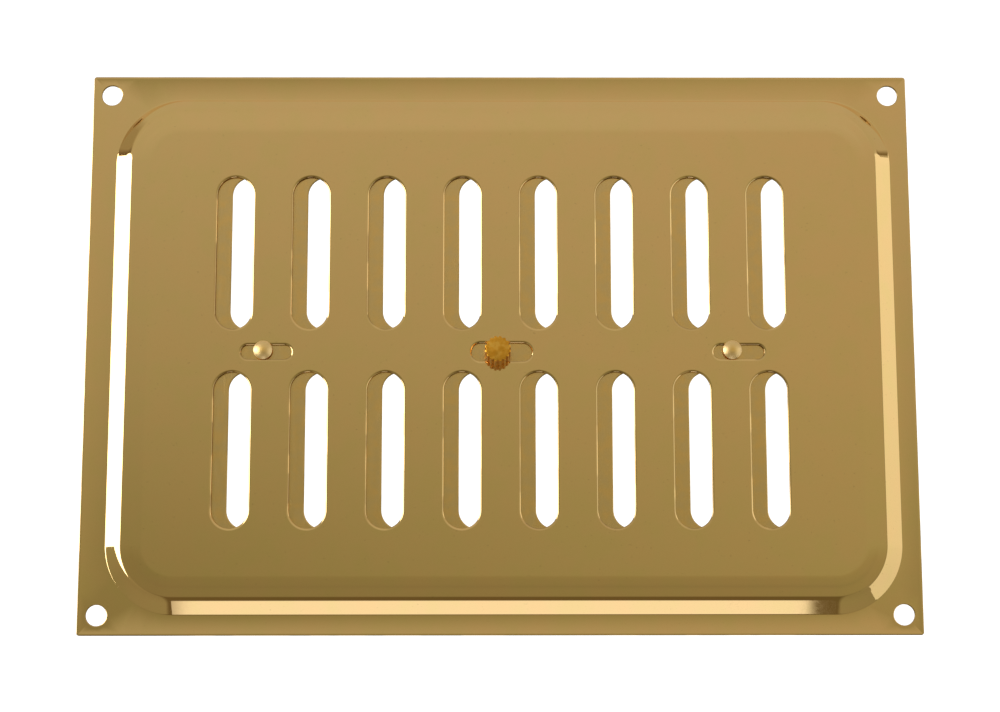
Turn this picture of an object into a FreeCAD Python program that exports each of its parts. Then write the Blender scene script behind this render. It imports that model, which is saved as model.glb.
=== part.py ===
import FreeCAD, Part
import math
import os

import Sketcher
from FreeCAD import Vector

# Sliding (hit-and-miss) ventilator plate for a wall or door opening.
#
# Frame: millimetres, upright as mounted. +X is across the plate, +Z is up and
# the face looks towards -Y. The plane y = 0 is the wall, which the back of the
# flange lies on. The origin is the centre of the plate and of its screw holes.
#
# The face plate is one pressed sheet. A flat shutter with the same slots slides
# behind it along X. Two rivets run in level guide slots and carry the shutter,
# each drawn up by a bowed spring washer, and a knob in the middle slot moves it.
# The shutter is drawn 4.4 mm from where its slots match, so the slots are part covered.

DIMENSIONS = [
    ("Face plate", [
        ("plate_width", 242.0),
        ("plate_height", 165.0),
        ("plate_corner_radius", 0.8),
        ("sheet_thickness", 0.7),
        ("screw_spacing_across", 231.0),
        ("screw_spacing_up", 153.5),
        ("screw_hole_radius", 3.0),
    ]),
    ("Raised panel, measured at the foot of its bevel", [
        ("panel_width", 229.3),
        ("panel_height", 152.3),
        ("panel_corner_radius", 20.0),
        ("panel_shift_across", 1.0),
        ("panel_shift_up", -0.6),
        ("panel_rise", 3.55),
        ("foot_radius", 1.0),
        ("bevel_angle", 38.0),
        ("crown_radius", 4.0),
        ("shoulder_radius", 45.0),
        ("shoulder_angle", 4.5),
    ]),
    ("Slots in the face plate", [
        ("slot_columns", 8),
        ("slot_pitch", 22.2),
        ("slot_width", 10.6),
        ("slot_length", 45.3),
        ("slot_row_spacing", 57.9),
        ("slot_shift_up", -0.65),
        ("guide_slot_length", 14.8),
        ("guide_slot_width", 4.2),
        ("guide_spacing", 137.2),
        ("guide_shift_across", 0.65),
        ("guide_shift_up", -1.1),
        ("knob_slot_length", 17.6),
        ("knob_slot_width", 5.4),
        ("knob_slot_shift_across", 0.35),
        ("knob_slot_shift_up", -1.15),
    ]),
    ("Shutter", [
        ("shutter_width", 187.0),
        ("shutter_height", 116.0),
        ("shutter_corner_radius", 3.0),
        ("shutter_thickness", 0.6),
        ("shutter_gap", 0.3),
        ("shutter_travel", 10.5),
        ("shutter_drawn", 4.4),
        ("fittings_shift_across", -5.18),
        ("rivet_spacing", 136.2),
        ("rivet_shift_up", -0.55),
        ("rivet_hole_radius", 1.35),
        ("knob_shift_up", -1.65),
        ("knob_hole_radius", 1.3),
    ]),
    ("Guide rivets and their washers", [
        ("rivet_shank_radius", 1.3),
        ("rivet_head_radius", 2.75),
        ("rivet_head_height", 1.2),
        ("rivet_head_gap", 0.05),
        ("rivet_tail_radius", 2.6),
        ("rivet_tail_height", 0.9),
        ("washer_bore_radius", 1.4),
        ("spring_washer_radius", 4.0),
        ("spring_washer_thickness", 0.25),
        ("spring_washer_bow", 0.45),
        ("backing_washer_radius", 3.5),
        ("backing_washer_thickness", 0.5),
    ]),
    ("Knob and its screw", [
        ("knob_radius", 3.75),
        ("knob_length", 9.2),
        ("knob_gap", 0.3),
        ("knob_edge", 0.45),
        ("knob_neck_radius", 2.0),
        ("knob_flutes", 16),
        ("flute_radius", 0.42),
        ("knob_bore_radius", 1.25),
        ("knob_bore_depth", 6.0),
        ("screw_shank_radius", 1.2),
        ("screw_shank_length", 6.5),
        ("screw_head_radius", 2.4),
        ("screw_head_height", 1.6),
        ("screw_head_edge", 0.4),
        ("screw_slot_width", 0.7),
        ("screw_slot_depth", 0.8),
        ("screw_washer_radius", 3.5),
        ("screw_washer_thickness", 0.5),
    ]),
]

# Sketch axes: -1 is the sketch's horizontal axis, -2 its vertical axis, and
# (-1, 1) its origin. Point 1 of a line or arc is its start, 2 its end and 3 an
# arc's centre.
HORIZONTAL_AXIS = -1
VERTICAL_AXIS = -2
START, END, CENTRE = 1, 2, 3
QUARTER = math.pi / 2

doc = FreeCAD.newDocument("ventilator")
sheet = doc.addObject("Spreadsheet::Sheet", "Dims")


def fill_sheet():
    """One row for each driving dimension, under a title for each sub-part."""
    row = 1
    for title, cells in DIMENSIONS:
        sheet.set(f"A{row}", title)
        row += 1
        for alias, number in cells:
            sheet.set(f"A{row}", alias)
            sheet.set(f"B{row}", str(number))
            sheet.setAlias(f"B{row}", alias)
            row += 1
    doc.recompute()


def measure(expression):
    """The present value of an expression on the sheet."""
    found = sheet.evalExpression(str(expression))
    return float(getattr(found, "Value", found))


# ---------------------------------------------------------------- sketch tools

def new_body(label):
    body = doc.addObject("PartDesign::Body", label)
    body.Label = label
    return body


def new_sketch(body, name, role, offset=None):
    """A sketch on one of the body's own origin planes, raised by an expression."""
    plane = [f for f in body.Origin.OriginFeatures if f.Role == role][0]
    sketch = body.newObject("Sketcher::SketchObject", name)
    sketch.AttachmentSupport = [(plane, "")]
    sketch.MapMode = "FlatFace"
    if offset:
        sketch.setExpression("AttachmentOffset.Base.z", offset)
    return sketch


def relate(sketch, kind, *points):
    sketch.addConstraint(Sketcher.Constraint(kind, *points))


def dimension(sketch, kind, points, expression):
    """A dimension whose value is bound to the sheet. Angles are in degrees there."""
    number = measure(expression)
    if kind == "Angle":
        number = math.radians(number)
    index = sketch.addConstraint(Sketcher.Constraint(kind, *points, number))
    name = f"size{index}"
    sketch.renameConstraint(index, name)
    sketch.setExpression(f"Constraints.{name}", expression)


def locate(sketch, point, across, up):
    """Hold a point at a place given by two expressions."""
    for kind, axis, place in (("DistanceX", VERTICAL_AXIS, across), ("DistanceY", HORIZONTAL_AXIS, up)):
        if measure(place) == 0.0:
            relate(sketch, "PointOnObject", *point, axis)
        else:
            dimension(sketch, kind, (-1, 1, *point), place)


def add_arc(sketch, centre, radius, first, last):
    """An anticlockwise arc, from angle first to angle last in radians."""
    circle = Part.Circle(Vector(*centre, 0), Vector(0, 0, 1), radius)
    return sketch.addGeometry(Part.ArcOfCircle(circle, first, last))


def add_line(sketch, first, last):
    return sketch.addGeometry(Part.LineSegment(Vector(*first, 0), Vector(*last, 0)))


def add_circle(sketch, across, up, radius):
    centre = Vector(measure(across), measure(up), 0)
    index = sketch.addGeometry(Part.Circle(centre, Vector(0, 0, 1), measure(radius)))
    dimension(sketch, "Radius", (index,), radius)
    locate(sketch, (index, CENTRE), across, up)


def add_obround(sketch, across, up, length, width, upright):
    """A slot with round ends, centred at a place, along the vertical or horizontal axis."""
    x, y, radius = measure(across), measure(up), measure(width) / 2
    reach = (measure(length) - measure(width)) / 2
    turn = QUARTER if upright else 0.0
    step = (0.0, reach) if upright else (reach, 0.0)
    side = (radius, 0.0) if upright else (0.0, -radius)
    far, near = (x + step[0], y + step[1]), (x - step[0], y - step[1])
    far_end = add_arc(sketch, far, radius, turn - QUARTER, turn + QUARTER)
    near_end = add_arc(sketch, near, radius, turn + QUARTER, turn + 3 * QUARTER)
    first = add_line(sketch, (near[0] + side[0], near[1] + side[1]), (far[0] + side[0], far[1] + side[1]))
    second = add_line(sketch, (far[0] - side[0], far[1] - side[1]), (near[0] - side[0], near[1] - side[1]))
    relate(sketch, "Tangent", first, END, far_end, START)
    relate(sketch, "Tangent", far_end, END, second, START)
    relate(sketch, "Tangent", second, END, near_end, START)
    relate(sketch, "Tangent", near_end, END, first, START)
    relate(sketch, "Equal", far_end, near_end)
    relate(sketch, "Vertical" if upright else "Horizontal", first)
    dimension(sketch, "Radius", (far_end,), f"({width}) / 2")
    kind = "DistanceY" if upright else "DistanceX"
    dimension(sketch, kind, (near_end, CENTRE, far_end, CENTRE), f"({length}) - ({width})")
    back = f"(({length}) - ({width})) / 2"
    if upright:
        locate(sketch, (near_end, CENTRE), across, f"({up}) - {back}")
    else:
        locate(sketch, (near_end, CENTRE), f"({across}) - {back}", up)


def add_rounded_rectangle(sketch, across, up, width, height, radius):
    x, y, r = measure(across), measure(up), measure(radius)
    half_width, half_height = measure(width) / 2, measure(height) / 2
    corners = []
    for turn, sign_x, sign_y in ((0, 1, 1), (1, -1, 1), (2, -1, -1), (3, 1, -1)):
        centre = (x + sign_x * (half_width - r), y + sign_y * (half_height - r))
        corners.append((centre, add_arc(sketch, centre, r, turn * QUARTER, (turn + 1) * QUARTER)))
    sides = []
    for turn in range(4):
        (here, arc), (there, next_arc) = corners[turn], corners[(turn + 1) % 4]
        angle = (turn + 1) * QUARTER
        out = (r * math.cos(angle), r * math.sin(angle))
        side = add_line(sketch, (here[0] + out[0], here[1] + out[1]), (there[0] + out[0], there[1] + out[1]))
        relate(sketch, "Tangent", arc, END, side, START)
        relate(sketch, "Tangent", side, END, next_arc, START)
        relate(sketch, "Horizontal" if turn % 2 == 0 else "Vertical", side)
        sides.append(side)
    first = corners[0][1]
    for _, arc in corners[1:]:
        relate(sketch, "Equal", first, arc)
    dimension(sketch, "Radius", (first,), radius)
    opposite = corners[2][1]
    dimension(sketch, "DistanceX", (opposite, CENTRE, first, CENTRE), f"({width}) - 2 * ({radius})")
    dimension(sketch, "DistanceY", (opposite, CENTRE, first, CENTRE), f"({height}) - 2 * ({radius})")
    locate(sketch, (first, CENTRE), f"({across}) + ({width}) / 2 - ({radius})",
           f"({up}) + ({height}) / 2 - ({radius})")


def pad(body, name, sketch, length, backwards=False):
    """Material along the sketch's normal, by a bound length."""
    feature = body.newObject("PartDesign::Pad", name)
    feature.Profile = sketch
    feature.setExpression("Length", length)
    feature.Reversed = backwards
    doc.recompute()
    return feature


def cut(body, name, sketch, length=None, forwards=False):
    """A pocket of a bound depth, or right through both ways, which has to remove material."""
    before = body.Shape.Volume
    feature = body.newObject("PartDesign::Pocket", name)
    feature.Profile = sketch
    if length:
        feature.setExpression("Length", length)
        feature.Reversed = forwards
    else:
        feature.Type = "ThroughAll"
        feature.SideType = "Symmetric"
    doc.recompute()
    if not body.Shape.Volume < before - 1e-6:
        raise RuntimeError(f"{name} removed nothing from {body.Label}")
    return feature


def revolve(body, name, sketch):
    """A full turn about the sketch's vertical axis."""
    feature = body.newObject("PartDesign::Revolution", name)
    feature.Profile = sketch
    feature.ReferenceAxis = (sketch, ["V_Axis"])
    feature.Angle = 360
    doc.recompute()
    return feature


def repeat(body, name, feature, sketch, across, up):
    """Copies of a cut in a grid. across and up are each a count and a pitch."""
    before = body.Shape.Volume
    pattern = body.newObject("PartDesign::LinearPattern", name)
    pattern.Originals = [feature]
    for suffix, axis, (count, pitch) in (("", "H_Axis", across), ("2", "V_Axis", up)):
        setattr(pattern, f"Direction{suffix}", (sketch, [axis]))
        pattern.setExpression(f"Length{suffix}", f"({pitch}) * ({count} - 1)")
        pattern.setExpression(f"Occurrences{suffix}", count)
    body.Tip = pattern
    doc.recompute()
    if not body.Shape.Volume < before - 1e-6:
        raise RuntimeError(f"{name} repeated nothing in {body.Label}")
    return pattern


def place(body, across=None, forward=None, up=None):
    """Put a body where three expressions say, along X, Y and Z."""
    for axis, expression in (("x", across), ("y", forward), ("z", up)):
        if expression:
            body.setExpression(f"Placement.Base.{axis}", expression)
    doc.recompute()


# ------------------------------------------------------------------ face plate

# Level run of the bevel's straight slope, and level width of the whole bevel.
SLOPE_RUN = (
    "((Dims.panel_rise - Dims.foot_radius * (1 - cos(Dims.bevel_angle))"
    " - Dims.crown_radius * (cos(Dims.shoulder_angle) - cos(Dims.bevel_angle))"
    " - Dims.shoulder_radius * (1 - cos(Dims.shoulder_angle))) / tan(Dims.bevel_angle))"
)
BEVEL_WIDTH = (
    f"({SLOPE_RUN} + (Dims.foot_radius + Dims.crown_radius) * sin(Dims.bevel_angle)"
    " + (Dims.shoulder_radius - Dims.crown_radius) * sin(Dims.shoulder_angle))"
)


def add_bevel_section(sketch):
    """Cross-section of the pressed bevel on the panel's right, where +X is outwards.

    The front outline is a hollow foot, a straight slope, a tight crown and a
    shallow shoulder. The back outline is the same, one sheet thickness behind.
    """
    slope = math.radians(measure("Dims.bevel_angle"))
    dip = math.radians(measure("Dims.shoulder_angle"))
    sheet_size = measure("Dims.sheet_thickness")
    foot_radius = measure("Dims.foot_radius")
    crown_radius = measure("Dims.crown_radius")
    shoulder_radius = measure("Dims.shoulder_radius")
    run = measure(SLOPE_RUN)

    foot_centre = (
        measure("Dims.panel_shift_across + Dims.panel_width / 2"),
        -sheet_size - foot_radius,
    )
    crown_centre = (
        foot_centre[0] - (foot_radius + crown_radius) * math.sin(slope) - run,
        foot_centre[1] + (foot_radius + crown_radius) * math.cos(slope) - run * math.tan(slope),
    )
    shoulder_centre = (
        crown_centre[0] - (shoulder_radius - crown_radius) * math.sin(dip),
        crown_centre[1] + (shoulder_radius - crown_radius) * math.cos(dip),
    )

    def on_slope(centre, radius):
        """The point of an arc where the slope leaves it. The foot's radius counts as negative."""
        return centre[0] + radius * math.sin(slope), centre[1] - radius * math.cos(slope)

    outlines = []
    for depth in (0.0, sheet_size):
        foot_size = foot_radius + depth
        crown_size = crown_radius - depth
        shoulder_size = shoulder_radius - depth
        foot = add_arc(sketch, foot_centre, foot_size, QUARTER, QUARTER + slope)
        crown = add_arc(sketch, crown_centre, crown_size, dip - QUARTER, slope - QUARTER)
        shoulder = add_arc(sketch, shoulder_centre, shoulder_size, -QUARTER, dip - QUARTER)
        straight = add_line(sketch, on_slope(crown_centre, crown_size), on_slope(foot_centre, -foot_size))
        relate(sketch, "Tangent", foot, END, straight, END)
        relate(sketch, "Tangent", straight, START, crown, END)
        relate(sketch, "Tangent", crown, START, shoulder, END)
        relate(sketch, "Vertical", foot, START, foot, CENTRE)
        relate(sketch, "Vertical", shoulder, START, shoulder, CENTRE)
        outlines.append((foot, straight, crown, shoulder))

    (foot, straight, crown, shoulder), (back_foot, _, back_crown, back_shoulder) = outlines
    dimension(sketch, "Radius", (foot,), "Dims.foot_radius")
    dimension(sketch, "Radius", (crown,), "Dims.crown_radius")
    dimension(sketch, "Radius", (shoulder,), "Dims.shoulder_radius")
    dimension(sketch, "Angle", (straight,), "Dims.bevel_angle")
    dimension(sketch, "DistanceX", (shoulder, START, shoulder, END),
              "Dims.shoulder_radius * sin(Dims.shoulder_angle)")
    dimension(sketch, "DistanceY", (shoulder, START, foot, START), "Dims.panel_rise")
    locate(sketch, (foot, START), "Dims.panel_shift_across + Dims.panel_width / 2",
           "-Dims.sheet_thickness")

    for front, back in ((foot, back_foot), (crown, back_crown), (shoulder, back_shoulder)):
        relate(sketch, "Coincident", front, CENTRE, back, CENTRE)
    dimension(sketch, "Radius", (back_foot,), "Dims.foot_radius + Dims.sheet_thickness")
    dimension(sketch, "Radius", (back_crown,), "Dims.crown_radius - Dims.sheet_thickness")
    for front, back in ((foot, back_foot), (shoulder, back_shoulder)):
        first, last = sketch.getPoint(front, START), sketch.getPoint(back, START)
        end_line = add_line(sketch, (first.x, first.y), (last.x, last.y))
        relate(sketch, "Coincident", end_line, START, front, START)
        relate(sketch, "Coincident", end_line, END, back, START)


def make_face_plate():
    """Pressed sheet: flat flange, bevel, raised panel, then the punched holes."""
    body = new_body("face_plate")
    panel = ("Dims.panel_shift_across", "Dims.panel_shift_up")

    flange = new_sketch(body, "flange_outline", "XZ_Plane")
    add_rounded_rectangle(flange, "0", "0", "Dims.plate_width", "Dims.plate_height",
                          "Dims.plate_corner_radius")
    add_rounded_rectangle(flange, *panel, "Dims.panel_width", "Dims.panel_height",
                          "Dims.panel_corner_radius")
    pad(body, "flange", flange, "Dims.sheet_thickness")

    spine = new_sketch(body, "bevel_path", "XZ_Plane")
    add_rounded_rectangle(spine, *panel, "Dims.panel_width", "Dims.panel_height",
                          "Dims.panel_corner_radius")
    section = new_sketch(body, "bevel_section", "XY_Plane")
    add_bevel_section(section)
    doc.recompute()
    bevel = body.newObject("PartDesign::AdditivePipe", "bevel")
    bevel.Profile = section
    bevel.Spine = (spine, [f"Edge{n + 1}" for n in range(len(spine.Shape.Edges))])
    doc.recompute()

    top = new_sketch(body, "panel_outline", "XZ_Plane", offset="Dims.panel_rise")
    add_rounded_rectangle(top, *panel, f"Dims.panel_width - 2 * {BEVEL_WIDTH}",
                          f"Dims.panel_height - 2 * {BEVEL_WIDTH}",
                          f"Dims.panel_corner_radius - {BEVEL_WIDTH}")
    pad(body, "panel", top, "Dims.sheet_thickness")

    screw_holes = new_sketch(body, "screw_hole", "XZ_Plane")
    add_circle(screw_holes, "-Dims.screw_spacing_across / 2", "-Dims.screw_spacing_up / 2",
               "Dims.screw_hole_radius")
    hole = cut(body, "screw_hole_cut", screw_holes)
    repeat(body, "screw_holes", hole, screw_holes, ("2", "Dims.screw_spacing_across"),
           ("2", "Dims.screw_spacing_up"))

    slot = new_sketch(body, "slot_outline", "XZ_Plane")
    add_air_slot(slot)
    first = cut(body, "slot", slot)
    repeat(body, "slots", first, slot, ("Dims.slot_columns", "Dims.slot_pitch"),
           ("2", "Dims.slot_row_spacing"))

    guides = new_sketch(body, "guide_slot_outlines", "XZ_Plane")
    for side in (-1, 1):
        add_obround(guides, f"Dims.guide_shift_across + {side} * Dims.guide_spacing / 2",
                    "Dims.guide_shift_up", "Dims.guide_slot_length", "Dims.guide_slot_width",
                    upright=False)
    add_obround(guides, "Dims.knob_slot_shift_across", "Dims.knob_slot_shift_up",
                "Dims.knob_slot_length", "Dims.knob_slot_width", upright=False)
    cut(body, "guide_slots", guides)
    return body


def add_air_slot(sketch):
    """The lower slot of the leftmost column, the same in the face plate and the shutter."""
    add_obround(sketch, "-Dims.slot_pitch * (Dims.slot_columns - 1) / 2",
                "Dims.slot_shift_up - Dims.slot_row_spacing / 2",
                "Dims.slot_length", "Dims.slot_width", upright=True)


# --------------------------------------------------------------------- shutter

# The shutter is drawn with its slots matching the face's, then placed. Its rivets
# and knob are fitted well to the left of its middle, so it can travel to the right.
SHUTTER_FRONT = "(Dims.shutter_gap - Dims.panel_rise)"
SHUTTER_BACK = f"({SHUTTER_FRONT} + Dims.shutter_thickness)"


def make_shutter_plate():
    """Flat sheet with the same slots, wide enough to cover them all at its closed stop."""
    body = new_body("shutter_plate")
    outline = new_sketch(body, "outline", "XZ_Plane")
    add_rounded_rectangle(outline, "-Dims.shutter_travel / 2", "Dims.slot_shift_up",
                          "Dims.shutter_width", "Dims.shutter_height",
                          "Dims.shutter_corner_radius")
    pad(body, "sheet", outline, "Dims.shutter_thickness", backwards=True)

    slot = new_sketch(body, "slot_outline", "XZ_Plane")
    add_air_slot(slot)
    first = cut(body, "slot", slot)
    repeat(body, "slots", first, slot, ("Dims.slot_columns", "Dims.slot_pitch"),
           ("2", "Dims.slot_row_spacing"))

    holes = new_sketch(body, "hole_outlines", "XZ_Plane")
    for side in (-1, 1):
        add_circle(holes, f"Dims.fittings_shift_across + {side} * Dims.rivet_spacing / 2",
                   "Dims.rivet_shift_up", "Dims.rivet_hole_radius")
    add_circle(holes, "Dims.fittings_shift_across", "Dims.knob_shift_up", "Dims.knob_hole_radius")
    cut(body, "holes", holes)
    place(body, "Dims.shutter_drawn", SHUTTER_FRONT)
    return body


# ------------------------------------------------------------- turned profiles

def add_profile(sketch, corners):
    """A closed half-section to turn about the sketch's vertical axis.

    Each corner is an expression for its radius, one for its height, and the
    kind of edge that follows it: a line, or a dome centred on the axis. The
    corners run anticlockwise.
    """
    edges = []
    for index, (radius, height, kind) in enumerate(corners):
        next_radius, next_height, _ = corners[(index + 1) % len(corners)]
        here = (measure(radius), measure(height))
        there = (measure(next_radius), measure(next_height))
        if kind == "dome":
            level = (here[0] ** 2 + here[1] ** 2 - there[0] ** 2 - there[1] ** 2) / (2 * (here[1] - there[1]))
            angles = [math.atan2(point[1] - level, point[0]) for point in (here, there)]
            size = math.hypot(here[0], here[1] - level)
            edge = add_arc(sketch, (0.0, level), size, *angles)
            relate(sketch, "PointOnObject", edge, CENTRE, VERTICAL_AXIS)
        else:
            edge = add_line(sketch, here, there)
        edges.append(edge)
    for index, (radius, height, _) in enumerate(corners):
        relate(sketch, "Coincident", edges[index - 1], END, edges[index], START)
        locate(sketch, (edges[index], START), radius, height)


def make_turned(label, corners):
    """A body turned about its own Y axis."""
    body = new_body(label)
    sketch = new_sketch(body, "half_section", "XY_Plane")
    add_profile(sketch, corners)
    revolve(body, "turned", sketch)
    return body


# --------------------------------------------- guide rivets and their washers

RIVET_STACK = (
    "(Dims.sheet_thickness + Dims.shutter_gap + Dims.shutter_thickness"
    " + Dims.spring_washer_bow + Dims.spring_washer_thickness"
    " + Dims.backing_washer_thickness)"
)


def make_guide_rivet(side_name, across):
    """Domed head in front of the panel, plain shank, and a tail closed over the washers.

    Height 0 of the section is the front of the panel.
    """
    body = make_turned(f"guide_rivet_{side_name}", [
        ("0", "-Dims.rivet_head_gap - Dims.rivet_head_height", "dome"),
        ("Dims.rivet_head_radius", "-Dims.rivet_head_gap", "line"),
        ("Dims.rivet_shank_radius", "-Dims.rivet_head_gap", "line"),
        ("Dims.rivet_shank_radius", RIVET_STACK, "line"),
        ("Dims.rivet_tail_radius", RIVET_STACK, "line"),
        ("Dims.rivet_tail_radius", f"{RIVET_STACK} + Dims.rivet_tail_height / 3", "dome"),
        ("0", f"{RIVET_STACK} + Dims.rivet_tail_height", "line"),
    ])
    place(body, across, "-Dims.panel_rise - Dims.sheet_thickness", "Dims.rivet_shift_up")
    return body


def make_ring(label, outer, bore, thickness):
    """Flat washer from y = 0 backwards."""
    body = new_body(label)
    sketch = new_sketch(body, "ring", "XZ_Plane")
    add_circle(sketch, "0", "0", outer)
    add_circle(sketch, "0", "0", bore)
    pad(body, "washer", sketch, thickness, backwards=True)
    return body


def make_backing_washer(side_name, across):
    body = make_ring(f"backing_washer_{side_name}", "Dims.backing_washer_radius",
                     "Dims.washer_bore_radius", "Dims.backing_washer_thickness")
    place(body, across,
          f"{SHUTTER_BACK} + Dims.spring_washer_bow + Dims.spring_washer_thickness",
          "Dims.rivet_shift_up")
    return body


# Radius of the bowed washer's hollow side, whose two ends rest on the shutter.
BOW_RADIUS = (
    "((Dims.spring_washer_radius * Dims.spring_washer_radius"
    " + Dims.spring_washer_bow * Dims.spring_washer_bow) / (2 * Dims.spring_washer_bow))"
)


def make_cylinder(name, radius, height, across_axis, centre_level):
    """A cylinder through the washer's middle, along Z or, across_axis False, along Y."""
    cylinder = doc.addObject("Part::Cylinder", name)
    cylinder.setExpression("Radius", radius)
    cylinder.setExpression("Height", height)
    if across_axis:
        cylinder.setExpression("Placement.Base.y", centre_level)
        cylinder.setExpression("Placement.Base.z", f"-({height}) / 2")
    else:
        cylinder.Placement.Rotation = FreeCAD.Rotation(Vector(1, 0, 0), -90)
        cylinder.setExpression("Placement.Base.y", centre_level)
    return cylinder


def make_spring_washer(side_name, across):
    """A washer bowed about Z: where a thin curved shell and a tube along Y meet."""
    name = f"spring_washer_{side_name}"
    width = "3 * Dims.spring_washer_radius"
    level = f"Dims.spring_washer_bow - {BOW_RADIUS}"
    shell = doc.addObject("Part::Cut", f"{name}_shell")
    shell.Base = make_cylinder(f"{name}_back", f"{BOW_RADIUS} + Dims.spring_washer_thickness",
                               width, True, level)
    shell.Tool = make_cylinder(f"{name}_hollow", BOW_RADIUS, width, True, level)
    tube = doc.addObject("Part::Cut", f"{name}_tube")
    tube.Base = make_cylinder(f"{name}_rim", "Dims.spring_washer_radius", width, False, "-0.5")
    tube.Tool = make_cylinder(f"{name}_bore", "Dims.washer_bore_radius", width, False, "-0.5")
    washer = doc.addObject("Part::Common", name)
    washer.Label = name
    washer.Base = shell
    washer.Tool = tube
    place(washer, across, SHUTTER_BACK, "Dims.rivet_shift_up")
    return washer


# -------------------------------------------------------- knob and its screw

KNOB_ACROSS = "Dims.shutter_drawn + Dims.fittings_shift_across"
NECK_LENGTH = "(Dims.shutter_gap + Dims.sheet_thickness + Dims.knob_gap)"


def make_knob():
    """Fluted grip on a plain neck. The neck passes the knob's slot and seats on the shutter."""
    front = f"-{NECK_LENGTH} - Dims.knob_length"
    body = make_turned("knob", [
        ("0", front, "line"),
        ("Dims.knob_radius - Dims.knob_edge", front, "line"),
        ("Dims.knob_radius", f"{front} + Dims.knob_edge", "line"),
        ("Dims.knob_radius", f"-{NECK_LENGTH} - Dims.knob_edge / 2", "line"),
        ("Dims.knob_radius - Dims.knob_edge / 2", f"-{NECK_LENGTH}", "line"),
        ("Dims.knob_neck_radius", f"-{NECK_LENGTH}", "line"),
        ("Dims.knob_neck_radius", "0", "line"),
        ("0", "0", "line"),
    ])
    flute = new_sketch(body, "flute_outline", "XZ_Plane")
    add_circle(flute, "0", "Dims.knob_radius", "Dims.flute_radius")
    first = cut(body, "flute", flute)
    before = body.Shape.Volume
    flutes = body.newObject("PartDesign::PolarPattern", "flutes")
    flutes.Originals = [first]
    flutes.Axis = (flute, ["N_Axis"])
    flutes.Angle = 360
    flutes.setExpression("Occurrences", "Dims.knob_flutes")
    body.Tip = flutes
    doc.recompute()
    if not body.Shape.Volume < before:
        raise RuntimeError("the flutes were not repeated round the knob")

    bore = new_sketch(body, "bore_outline", "XZ_Plane")
    add_circle(bore, "0", "0", "Dims.knob_bore_radius")
    cut(body, "screw_bore", bore, "Dims.knob_bore_depth", forwards=True)
    place(body, KNOB_ACROSS, SHUTTER_FRONT, "Dims.knob_shift_up")
    return body


def make_knob_washer():
    body = make_ring("knob_washer", "Dims.screw_washer_radius", "Dims.knob_hole_radius",
                     "Dims.screw_washer_thickness")
    place(body, KNOB_ACROSS, SHUTTER_BACK, "Dims.knob_shift_up")
    return body


def make_knob_screw():
    """Slotted pan screw, from behind through the washer and the shutter into the knob."""
    tip = "-Dims.screw_shank_length"
    head = "Dims.screw_head_height"
    body = make_turned("knob_screw", [
        ("0", tip, "line"),
        ("Dims.screw_shank_radius - Dims.screw_head_edge", tip, "line"),
        ("Dims.screw_shank_radius", f"{tip} + Dims.screw_head_edge", "line"),
        ("Dims.screw_shank_radius", "0", "line"),
        ("Dims.screw_head_radius", "0", "line"),
        ("Dims.screw_head_radius", f"{head} - Dims.screw_head_edge", "line"),
        ("Dims.screw_head_radius - Dims.screw_head_edge", head, "line"),
        ("0", head, "line"),
    ])
    slot = new_sketch(body, "driver_slot_outline", "XZ_Plane",
                      offset="Dims.screw_slot_depth - Dims.screw_head_height")
    add_obround(slot, "0", "0", "3 * Dims.screw_head_radius", "Dims.screw_slot_width", upright=False)
    cut(body, "driver_slot", slot, "Dims.screw_head_height")
    place(body, KNOB_ACROSS, f"{SHUTTER_BACK} + Dims.screw_washer_thickness", "Dims.knob_shift_up")
    return body


# ------------------------------------------------------------------------ main

def check(parts):
    """Stop on any failed object, and on a part that is not one sound solid."""
    doc.recompute()
    for item in doc.Objects:
        if "Invalid" in item.State or "Error" in item.State:
            raise RuntimeError(f"{item.Name} failed: {item.State}")
    for part in parts:
        shape = part.Shape
        if shape.isNull() or not shape.isValid() or len(shape.Solids) != 1:
            raise RuntimeError(f"{part.Label} is not one valid solid")


def main():
    fill_sheet()
    parts = [make_face_plate(), make_shutter_plate()]
    for side_name, side in (("left", -1), ("right", 1)):
        across = f"{KNOB_ACROSS} + {side} * Dims.rivet_spacing / 2"
        parts.append(make_guide_rivet(side_name, across))
        parts.append(make_spring_washer(side_name, across))
        parts.append(make_backing_washer(side_name, across))
    parts += [make_knob(), make_knob_washer(), make_knob_screw()]
    check(parts)
    os.makedirs("parts", exist_ok=True)
    for part in parts:
        part.Shape.exportStep(f"parts/{part.Label}.step")
        box = part.Shape.BoundBox
        print(f"{part.Label:22s} {part.Shape.Volume:10.2f} mm3  "
              f"x {box.XMin:8.2f} {box.XMax:8.2f}  y {box.YMin:7.2f} {box.YMax:7.2f}  "
              f"z {box.ZMin:7.2f} {box.ZMax:7.2f}")


main()
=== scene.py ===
from math import acos, ceil, cos, pi, radians, sin, tan

import bpy
from mathutils import Matrix, Vector
from mathutils.geometry import delaunay_2d_cdt


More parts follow.
